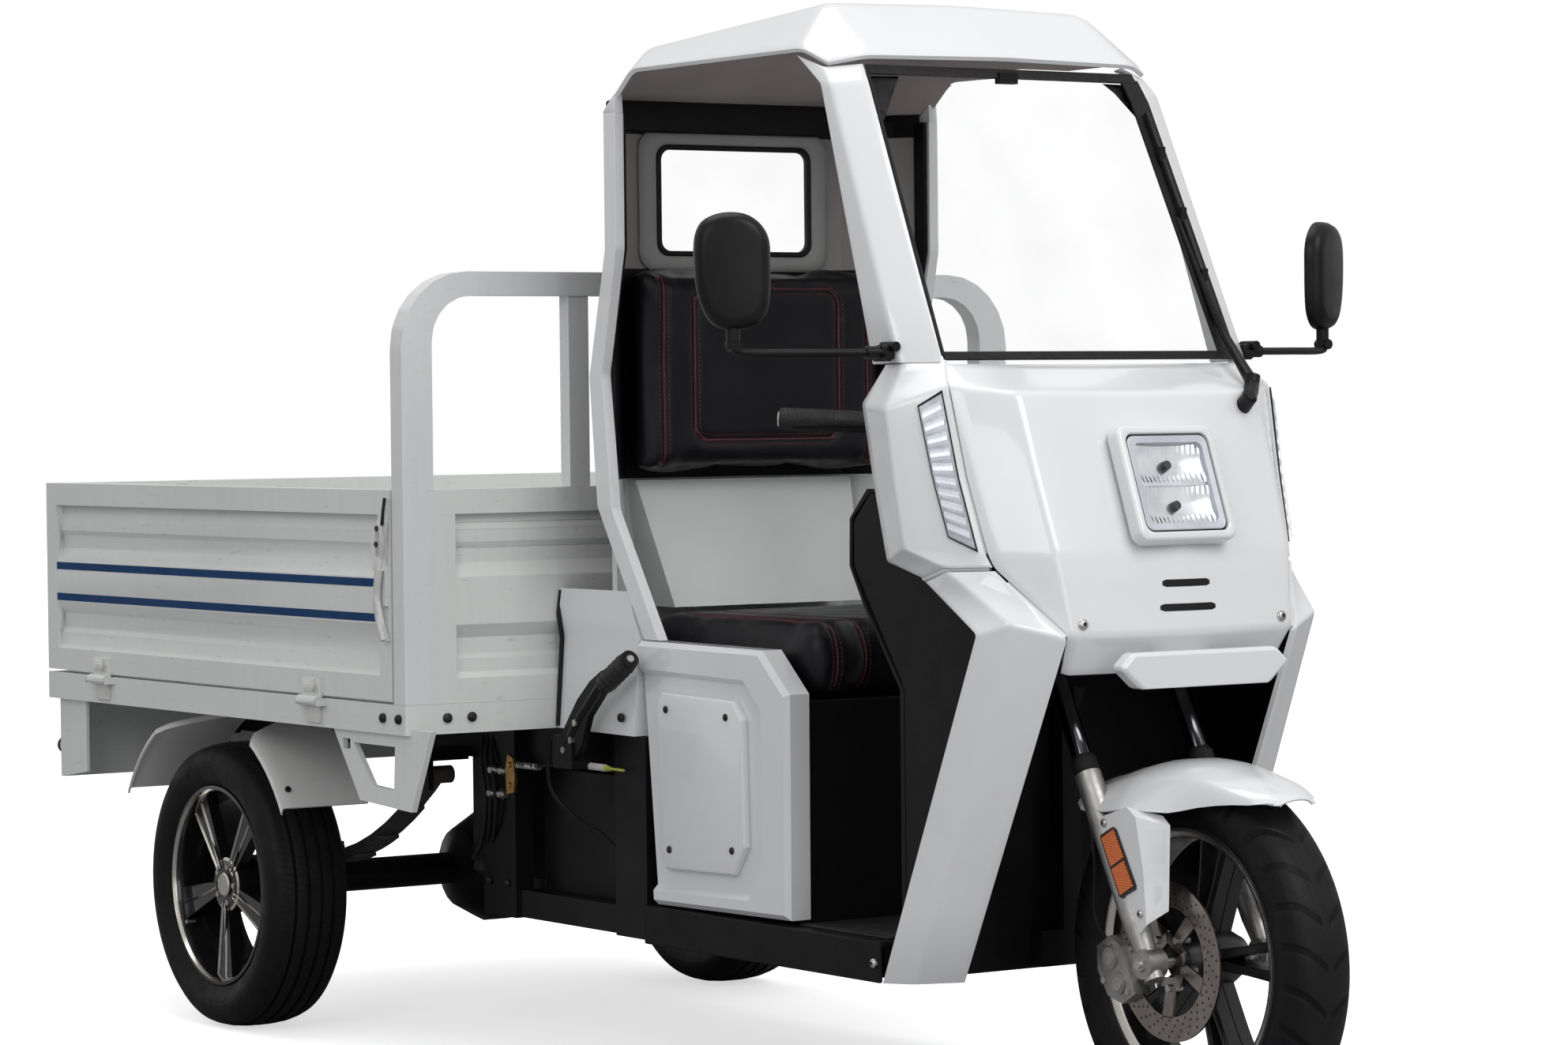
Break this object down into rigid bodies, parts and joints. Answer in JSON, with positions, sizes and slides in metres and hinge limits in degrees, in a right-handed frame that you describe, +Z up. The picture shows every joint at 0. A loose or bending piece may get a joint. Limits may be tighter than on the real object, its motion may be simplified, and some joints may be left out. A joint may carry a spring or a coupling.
{
  "type": "electric cargo tricycle",
  "caption": "Three-wheeled electric cargo vehicle with a roofed open-sided cab, a single steered front wheel and a box with drop boards.",
  "frame": {"origin": "middle of the bounding box, at the height of the ground under the tyres", "axes": "+Z up, front of the vehicle towards -Y, its right-hand side towards -X"},
  "size_m": [1.316, 3.0551, 1.785],
  "materials": {
    "white_body": "glossy moulded panels",
    "cargo_white": "sprayed sheet steel",
    "black_steel": "semi-gloss black paint",
    "black_plastic": "matt moulded plastic",
    "rubber": "matt rubber",
    "alloy": "machined",
    "black_alloy": "gloss black on cast alloy",
    "steel": "plated",
    "seat_cover": "soft artificial leather",
    "clear_lens": "clear lens over a silver reflector",
    "glass": "clear"
  },
  "bodies": {
    "chassis": {"rear_bumper": "white_body", "seat_side_cover_right": "white_body", "seat_side_cover_left": "white_body", "rear_pillar_right": "white_body", "rear_pillar_left": "white_body", "cab_roof": "white_body", "front_pillar_right": "white_body", "front_pillar_left": "white_body", "front_panel": "white_body", "cowl_side_right": "white_body", "cowl_side_left": "white_body", "leg_fairing_right": "white_body", "leg_fairing_left": "white_body", "chin_plate": "white_body", "rear_side_box_right": "white_body", "rear_side_box_left": "white_body", "mudguard_right": "white_body", "mudguard_left": "white_body", "cargo_floor": "cargo_white", "headboard_hoop": "cargo_white", "front_board": "cargo_white", "main_frame": "black_steel", "rear_axle": "black_steel", "leaf_spring_right": "black_steel", "leaf_spring_left": "black_steel", "steering_head": "black_steel", "battery_pack": "black_plastic", "cab_floor": "black_plastic", "leg_shield": "black_plastic", "dashboard": "black_plastic", "seat_box": "black_plastic", "cab_rear_wall": "black_plastic", "mirror_right": "black_plastic", "mirror_left": "black_plastic", "parking_brake_lever": "black_plastic", "seat_cushion": "seat_cover", "seat_backrest": "seat_cover", "marker_lamp_right": "clear_lens", "marker_lamp_left": "clear_lens", "headlight": "clear_lens", "rear_window": "glass", "windscreen": "glass"},
    "side_board_right": {"side_board_right": "cargo_white"},
    "side_board_left": {"side_board_left": "cargo_white"},
    "tailgate": {"tailgate": "cargo_white"},
    "steering": {"fork": "steel", "handlebar": "black_plastic", "front_fender": "white_body"},
    "front_wheel": {"front_rim": "black_alloy", "front_tyre": "rubber"},
    "rear_wheel_right": {"rear_rim_right": "alloy", "rear_tyre_right": "rubber"},
    "rear_wheel_left": {"rear_rim_left": "alloy", "rear_tyre_left": "rubber"}
  },
  "joints": [
    {"name": "steering_turn", "type": "hinge", "parent": "chassis", "child": "steering", "pos_m": [0, -1.21185, 0.26857], "axis": [0, 0.4695, 0.8829], "range_deg": [-40, 40]},
    {"name": "front_wheel_spin", "type": "hinge", "parent": "steering", "child": "front_wheel", "pos_m": [0, -1.24275, 0.285], "axis": [1, 0, 0], "continuous": true},
    {"name": "rear_wheel_right_spin", "type": "hinge", "parent": "chassis", "child": "rear_wheel_right", "pos_m": [-0.522, 0.90725, 0.262], "axis": [1, 0, 0], "continuous": true},
    {"name": "rear_wheel_left_spin", "type": "hinge", "parent": "chassis", "child": "rear_wheel_left", "pos_m": [0.522, 0.90725, 0.262], "axis": [1, 0, 0], "continuous": true},
    {"name": "side_board_right_drop", "type": "hinge", "parent": "chassis", "child": "side_board_right", "pos_m": [-0.647, 0.90725, 0.628], "axis": [0, -1, 0], "range_deg": [0, 172]},
    {"name": "side_board_left_drop", "type": "hinge", "parent": "chassis", "child": "side_board_left", "pos_m": [0.647, 0.90725, 0.628], "axis": [0, 1, 0], "range_deg": [0, 172]},
    {"name": "tailgate_drop", "type": "hinge", "parent": "chassis", "child": "tailgate", "pos_m": [0, 1.51825, 0.628], "axis": [-1, 0, 0], "range_deg": [0, 172]}
  ]
}
